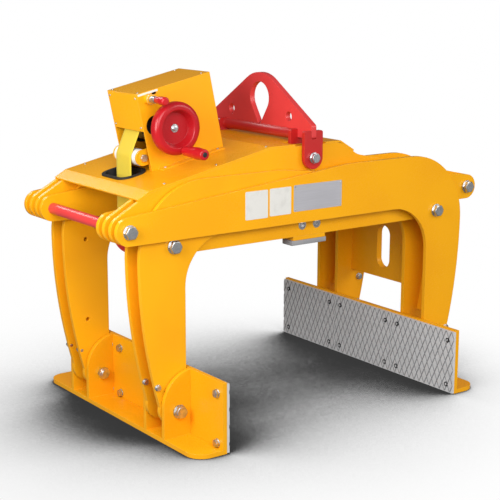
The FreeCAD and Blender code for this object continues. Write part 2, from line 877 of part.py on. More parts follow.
def handwheel():
    # A dished wheel with the crank pin standing on its rim.
    x, z = on_deck(shaft_u, shaft_v)
    web_back_y = dish_y + dish_t
    steps = [at(shaft_r, hub_back_y), at(hub_r, hub_back_y), at(hub_r, web_back_y),
             at(rim_back_r, web_back_y), at(rim_back_r, wheel_back_y), at(wheel_r, wheel_back_y, rim_edge_r),
             at(wheel_r, wheel_front_y, rim_edge_r), at(dish_r, wheel_front_y, dish_edge_r),
             at(dish_floor_r, dish_y), at(shaft_r, dish_y)]
    body = turned(steps, x, z)
    pin = rod(x + crank_x, z - crank_drop, crank_pin_r, crank_pin_end_y, wheel_front_y + rim_edge_r)
    return body.fuse(pin)


def crank_handle():
    x, z = on_deck(shaft_u, shaft_v)
    bore = crank_pin_r + running_gap
    start_y = wheel_front_y - handle_gap
    bore_end_y = crank_pin_end_y - handle_gap
    steps = [at(bore, start_y), at(handle_base_r, start_y, handle_round),
             at(handle_tip_r, (start_y + handle_end_y * 2) / 3),
             at(handle_neck_r, handle_end_y, handle_round), at(0.0, handle_end_y),
             at(0.0, bore_end_y), at(bore, bore_end_y)]
    return turned(steps, x + crank_x, z - crank_drop)


def lock_housing():
    x, z = on_deck(lock_u, lock_v)
    body = rod(x, z, lock_bush_r, lock_bush_y, -box_half_y)
    body = body.fuse(rod(x, z, lock_barrel_r, lock_barrel_y, lock_bush_y))
    return body.cut(rod(x, z, lock_pin_r + running_gap, lock_barrel_y, -box_half_y))


def lock_pin():
    x, z = on_deck(lock_u, lock_v)
    return rod(x, z, lock_pin_r, lock_pin_out_y, lock_pin_in_y)


def lock_knob():
    x, z = on_deck(lock_u, lock_v)
    waist_y = (lock_knob_y + lock_knob_end_y) / 2
    steps = [at(lock_pin_r, lock_knob_y), at(lock_knob_neck_r, lock_knob_y),
             at(lock_knob_r, waist_y, handle_round), at(lock_knob_r, lock_knob_end_y, handle_round),
             at(0.0, lock_knob_end_y), at(0.0, lock_pin_out_y), at(lock_pin_r, lock_pin_out_y)]
    return turned(steps, x, z)


# Strap
def roller_local():
    across = roller_x - box_x
    rise = roller_z - deck_top_z
    return (across * math.cos(slope) + rise * math.sin(slope),
            rise * math.cos(slope) - across * math.sin(slope))


def roller_cheeks():
    u, v = roller_local()
    low_v = v - cheek_r
    high_v = v + cheek_r
    steps = [at(cheek_foot_u, 0.0), at(cheek_foot_end_u, 0.0), at(cheek_foot_end_u, high_v),
             at(u, high_v), via(u - cheek_r, v), at(u, low_v), at(cheek_foot_u, low_v)]
    body = deck_side(steps, cheek_y, cheek_y + cheek_t)
    return both_boxes([bored(body, [(roller_x, roller_z, roller_pin_r + running_gap)])])


def roller_pin():
    end = cheek_y + cheek_t
    body = rod(roller_x, roller_z, roller_pin_r, -end, end)
    head = roller_pin_r * head_share
    for side in (-1, 1):
        half_flat = roller_pin_r * flat_share
        body = body.fuse(hexagon(roller_x, roller_z, half_flat, side * end, side * (end + head)))
    return body.removeSplitter()


def guide_roller():
    bore = roller_pin_r + running_gap
    return tube(roller_x, roller_z, roller_r - seat_gap, bore, -roller_half_y, roller_half_y)


def ring_point(x, z, radius, turn):
    return (x + radius * math.cos(turn), z + radius * math.sin(turn))


def strap_upper():
    # From the roll on the spool, round the guide roller and down through the deck.
    spool = on_deck(shaft_u, shaft_v)
    span = math.dist(spool, (roller_x, roller_z))
    toward = math.atan2(spool[1] - roller_z, spool[0] - roller_x)
    touch = toward + math.acos((roller_r - strap_roll_r) / span)
    left = math.pi
    between = (touch + left) / 2
    steps = [at(*ring_point(*spool, strap_roll_r, touch)),
             at(*ring_point(roller_x, roller_z, roller_r, touch)),
             via(*ring_point(roller_x, roller_z, roller_r, between)),
             at(*ring_point(roller_x, roller_z, roller_r, left)),
             at(strap_in_x, strap_split_z),
             at(strap_in_x - strap_t, strap_split_z),
             at(*ring_point(roller_x, roller_z, roller_r + strap_t, left)),
             via(*ring_point(roller_x, roller_z, roller_r + strap_t, between)),
             at(*ring_point(roller_x, roller_z, roller_r + strap_t, touch)),
             at(*ring_point(*spool, strap_roll_r + strap_t, touch))]
    return plate(steps, -strap_half_y, strap_half_y)


def strap_lower():
    # The loop under the sheave, up to the anchor below the deck.
    outer_r = sheave_r + strap_t
    anchor_z = strap_anchor_low()
    steps = [at(sheave_x - sheave_r, strap_split_z), at(sheave_x - outer_r, strap_split_z),
             at(sheave_x - outer_r, sheave_z), via(sheave_x, sheave_z - outer_r),
             at(sheave_x + outer_r, sheave_z), at(sheave_x + outer_r, anchor_z),
             at(sheave_x + sheave_r, anchor_z), at(sheave_x + sheave_r, sheave_z),
             via(sheave_x, sheave_z - sheave_r), at(sheave_x - sheave_r, sheave_z)]
    return plate(steps, -strap_half_y, strap_half_y)


def strap_anchor_u():
    x = sheave_x + sheave_r + strap_t / 2
    return (x - box_x) / math.cos(slope)


def strap_anchor_low():
    # The strap's end stands against the highest corner of the anchor's underside.
    u = strap_anchor_u()
    return on_deck(u, -deck_t - anchor_deep)[1]


def strap_anchor():
    u = strap_anchor_u()
    steps = box_steps(u - anchor_half_u, -anchor_half_y, u + anchor_half_u, anchor_half_y)
    body = deck_pad(steps, -deck_t - anchor_deep, -deck_t)
    low = strap_anchor_low()
    slot = box_steps(sheave_x + sheave_r, low - anchor_deep, sheave_x + sheave_r + strap_t, low)
    return body.cut(plate(slot, -strap_half_y, strap_half_y))


def strap_sheave():
    body = rod(sheave_x, sheave_z, sheave_r - seat_gap, -sheave_half_y, sheave_half_y)
    for low in (-sheave_half_y, sheave_half_y - sheave_flange_t):
        body = body.fuse(rod(sheave_x, sheave_z, sheave_flange_r, low, low + sheave_flange_t))
    bore = sheave_shaft_r + running_gap
    return body.cut(rod(sheave_x, sheave_z, bore, -sheave_half_y, sheave_half_y)).removeSplitter()


# Pieces and their files
pieces = {
    "deck_plate": deck_plate(),
    "strap_ring": strap_ring(),
    "load_stop_blocks": stop_blocks(),
    "load_stop_pads": stop_pads(),
    "load_stop_bolts": stop_bolts(),
    "knuckle_bars": knuckle_bars(),
    "knuckle_bolts": knuckle_bolts(),
    "knuckle_spacers": knuckle_spacers(),
    "bail_bolts": bail_bolts(),
    "bail_plate": bail_plate(),
    "bail_bar": bail_bar(),
    "bail_hangers": bail_hangers(),
    "winch_front": winch_side(-1),
    "winch_back": winch_side(1),
    "winch_cover": winch_cover(),
    "winch_end_panel": winch_end_panel(),
    "winch_bearing": winch_bearing(),
    "winch_shaft": winch_shaft(),
    "strap_spool": strap_spool(),
    "strap_roll": strap_roll(),
    "handwheel": handwheel(),
    "crank_handle": crank_handle(),
    "lock_housing": lock_housing(),
    "lock_pin": lock_pin(),
    "lock_knob": lock_knob(),
    "roller_cheeks": roller_cheeks(),
    "roller_pin": roller_pin(),
    "guide_roller": guide_roller(),
    "strap_upper": strap_upper(),
    "strap_lower": strap_lower(),
    "strap_anchor": strap_anchor(),
    "strap_sheave": strap_sheave(),
    "sheave_shaft": sheave_shaft(),
    "tie_plate": tie_plate(),
}
sides = {"front": -1, "back": 1}
depths = {"outer": 1, "inner": -1}
for side_name, side in sides.items():
    for depth_name, depth in depths.items():
        end = side_name + "_" + depth_name
        pieces["frame_plate_" + end] = frame_plate(side, depth * offset_f)
        body = arm_plate(1, side, depth * offset_a, [])
        pieces["arm_a_" + end] = sync_studded(body, side) if depth_name == "outer" else body
        extra = []
        if depth_name == "inner":
            for hole_z in (spare_hole_low_z, spare_hole_high_z):
                extra.append((-spare_hole_x, hole_z, spare_hole_r))
            extra.append((sheave_x, sheave_z, sheave_shaft_r + running_gap))
        body = arm_plate(-1, side, depth * offset_b, extra)
        pieces["arm_b_" + end] = sync_slotted(body) if depth_name == "outer" else body
arms = {"a": (1, offset_a, offset_b, web_low_a_z), "b": (-1, offset_b, offset_a, web_low_b_z)}
for arm_name, (turn, offset, ear_offset, low_z) in arms.items():
    pieces["arm_" + arm_name + "_webs"] = webs(turn, offset, low_z)
    pieces["arm_" + arm_name + "_corner_bolts"] = corner_bolts(turn, offset)
    pieces["arm_" + arm_name + "_leg_bolts"] = leg_bolts(turn, offset)
    pieces["jaw_" + arm_name + "_pad"] = jaw_pad(turn)
    pieces["jaw_" + arm_name + "_plate"] = jaw_plate(turn)
    pieces["jaw_" + arm_name + "_shoe"] = jaw_shoe(turn, ear_offset)
    pieces["jaw_" + arm_name + "_bolts"] = jaw_bolts(turn)

for name, shape in pieces.items():
    shape.exportStep("parts/" + name + ".step")
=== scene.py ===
import json
import math
import bmesh
import bpy
from mathutils import Matrix, Vector


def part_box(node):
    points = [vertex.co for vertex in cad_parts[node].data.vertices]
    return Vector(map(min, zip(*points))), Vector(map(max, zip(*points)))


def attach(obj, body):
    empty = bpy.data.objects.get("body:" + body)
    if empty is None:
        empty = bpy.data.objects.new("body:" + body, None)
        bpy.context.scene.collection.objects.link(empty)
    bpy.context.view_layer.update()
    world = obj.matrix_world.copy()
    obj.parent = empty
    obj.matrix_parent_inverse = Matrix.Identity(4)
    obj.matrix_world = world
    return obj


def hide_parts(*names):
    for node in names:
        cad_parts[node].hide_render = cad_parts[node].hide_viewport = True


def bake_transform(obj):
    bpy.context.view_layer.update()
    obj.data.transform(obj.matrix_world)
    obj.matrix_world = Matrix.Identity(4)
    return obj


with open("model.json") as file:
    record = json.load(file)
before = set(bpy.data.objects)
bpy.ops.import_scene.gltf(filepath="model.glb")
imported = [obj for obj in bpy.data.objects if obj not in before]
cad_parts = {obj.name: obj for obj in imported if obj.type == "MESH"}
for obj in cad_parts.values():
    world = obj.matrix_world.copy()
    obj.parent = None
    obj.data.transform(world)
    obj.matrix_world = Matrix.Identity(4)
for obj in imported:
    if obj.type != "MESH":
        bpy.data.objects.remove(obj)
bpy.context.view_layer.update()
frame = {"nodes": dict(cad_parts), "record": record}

nodes = frame["nodes"]
print("tongs loaded:", len(nodes), "nodes")


class Wire:
    # one node output, so that shader sums read as sums
    def __init__(self, finish, socket):
        self.finish = finish
        self.socket = socket

    def maths(self, operation, first, second):
        return self.finish.node("ShaderNodeMath", {"operation": operation}, {0: first, 1: second})

    def __add__(self, other):
        return self.maths("ADD", self, other)

    def __radd__(self, other):
        return self.maths("ADD", other, self)

    def __sub__(self, other):
        return self.maths("SUBTRACT", self, other)

    def __rsub__(self, other):
        return self.maths("SUBTRACT", other, self)

    def __mul__(self, other):
        return self.maths("MULTIPLY", self, other)

    def __rmul__(self, other):
        return self.maths("MULTIPLY", other, self)

    def __gt__(self, other):
        return self.maths("GREATER_THAN", self, other)

    def __lt__(self, other):
        return self.maths("LESS_THAN", self, other)

    def most(self, other):
        return self.maths("MAXIMUM", self, other)

    def wave(self):
        return self.maths("SINE", self, 0.0)

    def size(self):
        return self.maths("ABSOLUTE", self, 0.0)


class Finish:
    def __init__(self, name, kind="materials"):
        self.material = getattr(bpy.data, kind).new(name)
        self.material.use_nodes = True
        self.tree = self.material.node_tree
        self.tree.nodes.clear()

    def node(self, kind, settings=None, sockets=None, out=0):
        made = self.tree.nodes.new(kind)
        for name, value in (settings or {}).items():
            if name == "stops":
                ramp = made.color_ramp.elements
                while len(ramp) < len(value):
                    ramp.new(1.0)
                for stop, (place, colour) in zip(ramp, value):
                    stop.position = place
                    stop.color = colour
            else:
                setattr(made, name, value)
        for name, value in (sockets or {}).items():
            if isinstance(value, Wire):
                self.tree.links.new(value.socket, made.inputs[name])
            else:
                made.inputs[name].default_value = value
        return Wire(self, made.outputs[out]) if len(made.outputs) else None

    def where(self):
        return self.node("ShaderNodeTexCoord", {}, {}, "Object")

    def axes(self, place):
        return [self.node("ShaderNodeSeparateXYZ", {}, {0: place}, axis) for axis in "XYZ"]

    def cloud(self, place, scale, detail=3.0):
        return self.node("ShaderNodeTexNoise", {}, {"Vector": place, "Scale": scale, "Detail": detail})

    def patches(self, place, scale, detail, low, high):
        # clouds whose middle range runs from zero to one
        return self.between(self.cloud(place, scale, detail), low, high)

    def stretched(self, place, scales):
        return self.node("ShaderNodeVectorMath", {"operation": "MULTIPLY"}, {0: place, 1: scales})

    def between(self, value, low, high):
        # zero at low, one at high, smooth in the middle
        smooth = {"interpolation_type": "SMOOTHSTEP"}
        return self.node("ShaderNodeMapRange", smooth, {0: value, 1: low, 2: high})

    def tint(self, share, first, second):
        return self.node("ShaderNodeMix", {"data_type": "RGBA"}, {0: share, 6: first, 7: second}, 2)

    def softEdge(self, radius):
        # normal that runs round the edges
        return self.node("ShaderNodeBevel", {"samples": 6}, {"Radius": radius})

    def edgeMask(self, rounded):
        # one along the edges, zero on the flats
        plain = self.node("ShaderNodeNewGeometry", {}, {}, "Normal")
        dot = {"operation": "DOT_PRODUCT"}
        match = self.node("ShaderNodeVectorMath", dot, {0: rounded, 1: plain}, "Value")
        return self.between(1.0 - match, 0.01, 0.22)

    def bumped(self, height, depth, normal=None):
        sockets = {"Height": height, "Distance": depth, "Strength": 1.0}
        if normal is not None:
            sockets["Normal"] = normal
        return self.node("ShaderNodeBump", {}, sockets)

    def surface(self, **sockets):
        named = {name.replace("_", " "): value for name, value in sockets.items()}
        shader = self.node("ShaderNodeBsdfPrincipled", {}, named)
        self.node("ShaderNodeOutputMaterial", {}, {"Surface": shader})
        return self.material


def opaque(colour):
    return (colour[0], colour[1], colour[2], 1.0)


# painted and plated finishes; four numbers are patches: scale, detail, low and high; a paint's edge colour is
# a painted highlight
yellowLook = {"colour": (0.93, 0.425, 0.008), "deep": (0.86, 0.355, 0.005), "edge": (0.98, 0.55, 0.06),
              "rough": 0.25, "gloss": 0.22, "peel": 520.0, "peelDepth": 0.00004, "edgeRadius": 0.0017,
              "drift": (4.5, 4.0, 0.35, 0.68), "edgeHighlightPatches": (24.0, 3.0, 0.36, 0.70)}
redLook = dict(yellowLook, colour=(0.75, 0.056, 0.056), deep=(0.65, 0.040, 0.040), edge=(0.85, 0.14, 0.13),
               rough=0.30, gloss=0.40, peel=620.0)
# darker copy of the red paint: painted shade for the hangers and the bail bar
shadedRedLook = dict(redLook, colour=(0.54, 0.019, 0.018), deep=(0.47, 0.014, 0.013), edge=(0.64, 0.055, 0.050))
wheelLook = dict(redLook, colour=(0.49, 0.011, 0.017), deep=(0.41, 0.008, 0.012), edge=(0.52, 0.02, 0.025),
                 rough=0.22)


def powderCoat(name, look):
    coat = Finish(name)
    place = coat.where()
    drift = coat.patches(place, *look["drift"])
    peel = coat.cloud(place, look["peel"], 2.0)
    rounded = coat.softEdge(look["edgeRadius"])
    edge = coat.edgeMask(rounded)
    edgeHighlightPatches = coat.patches(place, *look["edgeHighlightPatches"])
    body = coat.tint(drift * 0.55, opaque(look["colour"]), opaque(look["deep"]))
    # paler along the edges: a painted highlight, stronger in patches, where the edges are also rougher
    colour = coat.tint(edge * (0.45 + edgeHighlightPatches * 0.25), body, opaque(look["edge"]))
    rough = look["rough"] + (peel - 0.5) * 0.16 + drift * 0.05 + edge * edgeHighlightPatches * 0.10
    normal = coat.bumped(peel, look["peelDepth"], rounded)
    return coat.surface(Base_Color=colour, Roughness=rough, Normal=normal, Specular_IOR_Level=look["gloss"])


zincLook = {"bright": (0.76, 0.77, 0.78), "dull": (0.46, 0.48, 0.51), "warm": (0.74, 0.65, 0.49),
            "rough": 0.30, "edgeRadius": 0.0008, "fine": 900.0, "fineDepth": 0.00003,
            "bloom": (70.0, 4.0, 0.32, 0.70), "blush": (26.0, 2.0, 0.52, 0.78)}


def zincPlate(name, look):
    plate = Finish(name)
    place = plate.where()
    bloom = plate.patches(place, *look["bloom"])
    fine = plate.cloud(place, look["fine"], 3.0)
    blush = plate.patches(place, *look["blush"])
    grey = plate.tint(bloom, opaque(look["bright"]), opaque(look["dull"]))
    colour = plate.tint(blush * 0.35, grey, opaque(look["warm"]))
    rough = look["rough"] + bloom * 0.14 + (fine - 0.5) * 0.12
    normal = plate.bumped(fine, look["fineDepth"], plate.softEdge(look["edgeRadius"]))
    return plate.surface(Base_Color=colour, Roughness=rough, Metallic=1.0, Normal=normal)


darkLook = {"colour": (0.030, 0.030, 0.033), "worn": (0.13, 0.13, 0.135), "rough": 0.42, "metal": 0.55,
            "edgeRadius": 0.0007, "grain": 240.0, "grainDepth": 0.00005}


def darkSteel(name, look):
    steel = Finish(name)
    place = steel.where()
    grain = steel.cloud(place, look["grain"], 4.0)
    rounded = steel.softEdge(look["edgeRadius"])
    worn = steel.edgeMask(rounded) * 0.7 + grain * 0.12
    colour = steel.tint(worn, opaque(look["colour"]), opaque(look["worn"]))
    rough = look["rough"] + grain * 0.2
    normal = steel.bumped(grain, look["grainDepth"], rounded)
    return steel.surface(Base_Color=colour, Roughness=rough, Metallic=look["metal"], Normal=normal)


# the groove colour is painted shade in the hollows between the diamonds
gripLook = {"top": (0.63, 0.63, 0.635), "scuff": (0.54, 0.54, 0.545), "groove": (0.27, 0.27, 0.275),
            "rough": 0.58, "grooveFrom": 0.3923, "grooveTo": 0.3932, "endY": 0.3985, "lowZ": 0.0035,
            "highZ": 0.1835, "scuffs": (55.0, 5.0, 0.40, 0.70), "fine": 1300.0, "fineDepth": 0.00006}


def gripRubber(name, look):
    # ribbed jaw lining: pale tops, grooves darkened with painted shade, told apart by depth behind the pad
    # face
    rubber = Finish(name)
    place = rubber.where()
    across, along, high = rubber.axes(place)
    inward = rubber.between(across.size(), look["grooveFrom"], look["grooveTo"])
    inside = (along.size() < look["endY"]) * (high > look["lowZ"]) * (high < look["highZ"])
    grooveShade = inward * inside
    scuff = rubber.patches(place, *look["scuffs"])
    fine = rubber.cloud(place, look["fine"], 3.0)
    top = rubber.tint(scuff * 0.7, opaque(look["top"]), opaque(look["scuff"]))
    colour = rubber.tint(grooveShade, top, opaque(look["groove"]))
    rough = look["rough"] + scuff * 0.14 + (fine - 0.5) * 0.1
    return rubber.surface(Base_Color=colour, Roughness=rough, Normal=rubber.bumped(fine, look["fineDepth"]))


stopRubberLook = {"colour": (0.30, 0.30, 0.31), "worn": (0.40, 0.40, 0.40), "rough": 0.56,
                  "edgeRadius": 0.0012, "grain": 480.0, "grainDepth": 0.00007, "dust": (30.0, 4.0, 0.45, 0.75)}
ringRubberLook = dict(stopRubberLook, colour=(0.008, 0.008, 0.009), worn=(0.026, 0.026, 0.026))


def plainRubber(name, look):
    rubber = Finish(name)
    place = rubber.where()
    grain = rubber.cloud(place, look["grain"], 4.0)
    dust = rubber.patches(place, *look["dust"])
    rounded = rubber.softEdge(look["edgeRadius"])
    worn = dust * 0.45 + rubber.edgeMask(rounded) * 0.4
    shade = rubber.tint(worn, opaque(look["colour"]), opaque(look["worn"]))
    normal = rubber.bumped(grain, look["grainDepth"], rounded)
    return rubber.surface(Base_Color=shade, Roughness=look["rough"] + grain * 0.2, Normal=normal)


knobLook = {"colour": (0.56, 0.010, 0.014), "deep": (0.44, 0.006, 0.009), "rough": 0.27, "edgeRadius": 0.001,
            "flow": (16.0, 3.0, 0.35, 0.70), "fine": 700.0, "fineDepth": 0.00003}
rollerLook = dict(knobLook, colour=(0.84, 0.84, 0.82), deep=(0.76, 0.76, 0.73), rough=0.36)


def mouldedPlastic(name, look):
    plastic = Finish(name)
    place = plastic.where()
    flow = plastic.patches(place, *look["flow"])
    fine = plastic.cloud(place, look["fine"], 2.0)
    shade = plastic.tint(flow * 0.6, opaque(look["colour"]), opaque(look["deep"]))
    rough = look["rough"] + (fine - 0.5) * 0.1 + flow * 0.04
    normal = plastic.bumped(fine, look["fineDepth"], plastic.softEdge(look["edgeRadius"]))
    return plastic.surface(Base_Color=shade, Roughness=rough, Normal=normal)


webLook = {"light": (0.84, 0.60, 0.036), "dark": (0.55, 0.41, 0.016), "edge": (0.60, 0.48, 0.045),
           "warp": 1500.0, "weft": 1150.0, "yarnDepth": 0.00022, "lane": 0.030, "laneEdge": (0.0005, 0.0016),
           "soil": (24.0, 5.0, 0.40, 0.75), "rough": 0.72, "sheen": 0.10}


def strapWeave(name, look):
    # woven webbing: warp cords along the strap, weft across, both in metres on the weave map
    cloth = Finish(name)
    map2d = cloth.node("ShaderNodeUVMap", {"uv_map": "weave"})
    across, along = cloth.axes(map2d)[:2]
    warp = (across * look["warp"]).wave() * 0.5 + 0.5
    offset = ((across * look["warp"] * 0.5).wave() > 0.0) * math.pi  # every other cord lies half a turn on
    weft = (along * look["weft"] + offset).wave() * 0.5 + 0.5
    yarn = warp * 0.55 + weft * 0.45
    soil = cloth.patches(cloth.where(), *look["soil"])
    lane = cloth.between((across.size() - look["lane"]).size(), *look["laneEdge"])
    thread = cloth.tint(yarn, opaque(look["dark"]), opaque(look["light"]))
    worn = cloth.tint(soil * 0.35 + (1.0 - lane) * 0.45, thread, opaque(look["edge"]))
    rough = look["rough"] + yarn * 0.12
    normal = cloth.bumped(yarn, look["yarnDepth"])
    return cloth.surface(Base_Color=worn, Roughness=rough, Normal=normal, Sheen_Weight=look["sheen"])


filmLook = {"colour": (0.75, 0.735, 0.69), "marked": (0.68, 0.665, 0.62), "rough": 0.34,
            "marks": (45.0, 4.0, 0.48, 0.75), "fine": 800.0, "fineDepth": 0.00002}


def bareFilm(name, look):
    # bare white plate, with faint handling marks
    film = Finish(name)
    place = film.where()
    mark = film.patches(place, *look["marks"])
    fine = film.cloud(place, look["fine"], 2.0)
    colour = film.tint(mark, opaque(look["colour"]), opaque(look["marked"]))
    normal = film.bumped(fine, look["fineDepth"])
    return film.surface(Base_Color=colour, Roughness=look["rough"] + mark * 0.12, Normal=normal)


brushLook = {"dark": (0.46, 0.455, 0.48), "light": (0.62, 0.61, 0.65), "lines": (14.0, 900.0, 900.0),
             "lineDepth": 0.00003, "haze": (22.0, 3.0, 0.35, 0.70), "rough": 0.36, "metal": 0.45}


def brushedPlate(name, look):
    # bare silver plate, brushed along its length
    plate = Finish(name)
    lines = plate.cloud(plate.stretched(plate.where(), look["lines"]), 1.0, 4.0)
    haze = plate.patches(plate.where(), *look["haze"])
    colour = plate.tint(lines, opaque(look["dark"]), opaque(look["light"]))
    rough = look["rough"] + lines * 0.14 + haze * 0.08
    normal = plate.bumped(lines, look["lineDepth"])
    return plate.surface(Base_Color=colour, Roughness=rough, Metallic=look["metal"], Normal=normal)


finishes = {
    "yellow_paint": powderCoat("yellowPowderCoat", yellowLook),
    "red_paint": powderCoat("redGlossCoat", redLook),
    "zinc": zincPlate("zincPlate", zincLook),
    "dark_steel": darkSteel("blackenedSteel", darkLook),
    "grip_rubber": gripRubber("gripRubber", gripLook),
    "stop_rubber": plainRubber("stopRubber", stopRubberLook),
    "black_rubber": plainRubber("blackRubber", ringRubberLook),
    "webbing": strapWeave("strapWeave", webLook),
    "red_plastic": mouldedPlastic("redMouldedPlastic", knobLook),
    "white_plastic": mouldedPlastic("whiteTurnedPlastic", rollerLook),
}
bareWhite = bareFilm("bareWhitePlate", filmLook)
bareSilver = brushedPlate("bareSilverPlate", brushLook)
wheelRed = powderCoat("wheelGlossCoat", wheelLook)
# the hangers and the bail bar take the darker red, which paints shade on them
shadedRed = powderCoat("shadedRedGlossCoat", shadedRedLook)
ownFinish = {"handwheel": wheelRed, "bail_hangers": shadedRed}
for piece in frame["record"]["subparts"]:
    mesh = nodes[piece["node"]].data
    mesh.materials.clear()
    mesh.materials.append(ownFinish.get(piece["node"], finishes[piece["material_slot"]]))
print("finishes set:", ", ".join(finishes))


# mesh helpers
def metres(*lengths):
    return tuple(length / 1000.0 for length in lengths)


def addPiece(name, shape, finish, body, smooth=35.0):
    mesh = bpy.data.meshes.new(name)
    bmesh.ops.recalc_face_normals(shape, faces=shape.faces)
    shape.to_mesh(mesh)
    shape.free()
    mesh.materials.append(finish)
    piece = bpy.data.objects.new(name, mesh)
    bpy.context.scene.collection.objects.link(piece)
    for polygon in mesh.polygons:
        polygon.use_smooth = True
    mesh.set_sharp_from_angle(angle=math.radians(smooth))
    if body:
        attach(piece, body)
    return piece


def facing(place, outward, spin=0.0):
    # frame whose Z axis looks outward from a place
    turn = Vector(outward).normalized().to_track_quat("Z", "Y").to_matrix().to_4x4()
    return Matrix.Translation(Vector(place)) @ turn @ Matrix.Rotation(spin, 4, "Z")


def hexReach(angle, halfFlat):
    return halfFlat / math.cos((angle % (math.pi / 3)) - math.pi / 6)


def hexRing(halfFlat, height):
    return lambda angle: (hexReach(angle, halfFlat), height)


def turnRings(shape, rings, spot, count=24):
    # joins rings of (radius, height), or of a function of the angle, and caps both ends
    loops = []
    for ring in rings:
        loop = []
        for index in range(count):
            angle = 2 * math.pi * index / count
            radius, height = ring(angle) if callable(ring) else ring
            point = Vector((radius * math.cos(angle), radius * math.sin(angle), height))
            loop.append(shape.verts.new(spot @ point))
        loops.append(loop)
    for low, high in zip(loops, loops[1:]):
        for index in range(count):
            after = (index + 1) % count
            shape.faces.new((low[index], low[after], high[after], high[index]))
    shape.faces.new(loops[0][::-1])
    shape.faces.new(loops[-1])


# a screw's dome: shares of its radius and height
screwDome = ((0.96, 0.0), (1.0, 0.22), (0.93, 0.62), (0.74, 0.92), (0.60, 1.0))


def addScrew(shape, place, outward, radius, high, spin=0.0):
    # round-headed screw with a hexagon socket
    socket = radius * 0.42
    dome = [(radius * wide, high * tall) for wide, tall in screwDome]
    hollow = [hexRing(socket, high), hexRing(socket, high * 0.35), (socket * 0.2, high * 0.3)]
    turnRings(shape, dome + hollow, facing(place, outward, spin))


def addHexHead(shape, place, outward, halfFlat, high, spin=0.0, washer=0.0, washerHigh=0.0):
    spot = facing(place, outward, spin)
    if washer:
        lip = washerHigh * 0.3
        rings = [(washer - lip, 0.0), (washer, lip), (washer, washerHigh - lip), (washer - lip, washerHigh)]
        turnRings(shape, rings, spot)
    top = washerHigh + high
    crown = halfFlat * 0.94

    def chamfer(angle):
        reach = hexReach(angle, halfFlat)
        return reach, top - (reach - crown) * 0.58

    turnRings(shape, [hexRing(halfFlat, washerHigh), chamfer, (crown, top), (crown * 0.5, top)], spot)


def addSlab(shape, corners, outward, thick, corner=0.0, steps=5, bevel=0.0):
    # flat plate on its back face: corners in order, rounded, with a small bevel round the front
    outline = []
    count = len(corners)
    for index in range(count):
        here = Vector(corners[index])
        back = (Vector(corners[index - 1]) - here).normalized()
        ahead = (Vector(corners[(index + 1) % count]) - here).normalized()
        if not corner:
            outline.append(here)
            continue
        for step in range(steps + 1):
            share = step / steps
            first = here + back * corner * (1 - share)
            second = here + ahead * corner * share
            outline.append(first.lerp(second, share))
    centre = sum(outline, Vector()) / len(outline)
    lift = Vector(outward).normalized()
    rims = [(outline, 0.0), (outline, thick - bevel)]
    if bevel:
        rims.append(([point + (centre - point).normalized() * bevel for point in outline], thick))
    loops = [[shape.verts.new(point + lift * height) for point in points] for points, height in rims]
    for low, high in zip(loops, loops[1:]):
        for index in range(len(low)):
            after = (index + 1) % len(low)
            shape.faces.new((low[index], low[after], high[after], high[index]))
    shape.faces.new(loops[0][::-1])
    shape.faces.new(loops[-1])


# jaw linings with raised diamonds and sunk bolts
padLook = {"sections": 3, "seam": 0.5, "columns": 12.5, "rows": 4, "groove": 3.0, "rise": 1.6, "taper": 0.93,
           "boltRadius": 8.6, "boltProud": 0.5, "boltRows": (24.5, 156.5), "boltReach": 107.0,
           "nutFlat": 9.5, "nutHigh": 7.5, "washerThick": 1.6, "washerShare": 1.24}


def clipped(points, axis, limit, keepBelow):
    # cuts a polygon of (y, z) points by one straight limit
    kept = []

    def inside(point):
        return point[axis] <= limit if keepBelow else point[axis] >= limit

    for index, here in enumerate(points):
        before = points[index - 1]
        if inside(here) != inside(before):
            share = (limit - before[axis]) / (here[axis] - before[axis])
            kept.append(tuple(before[i] + (here[i] - before[i]) * share for i in (0, 1)))
        if inside(here):
            kept.append(here)
    return kept


def addDiamond(shape, rim, floor, face, taper):
    midY = sum(point[0] for point in rim) / len(rim)
    midZ = sum(point[1] for point in rim) / len(rim)
    top = [(midY + (y - midY) * taper, midZ + (z - midZ) * taper) for y, z in rim]
    under = [shape.verts.new((floor, y, z)) for y, z in rim]
    over = [shape.verts.new((face, y, z)) for y, z in top]
    for index in range(len(rim)):
        after = (index + 1) % len(rim)
        shape.faces.new((under[index], under[after], over[after], over[index]))
    shape.faces.new(over)


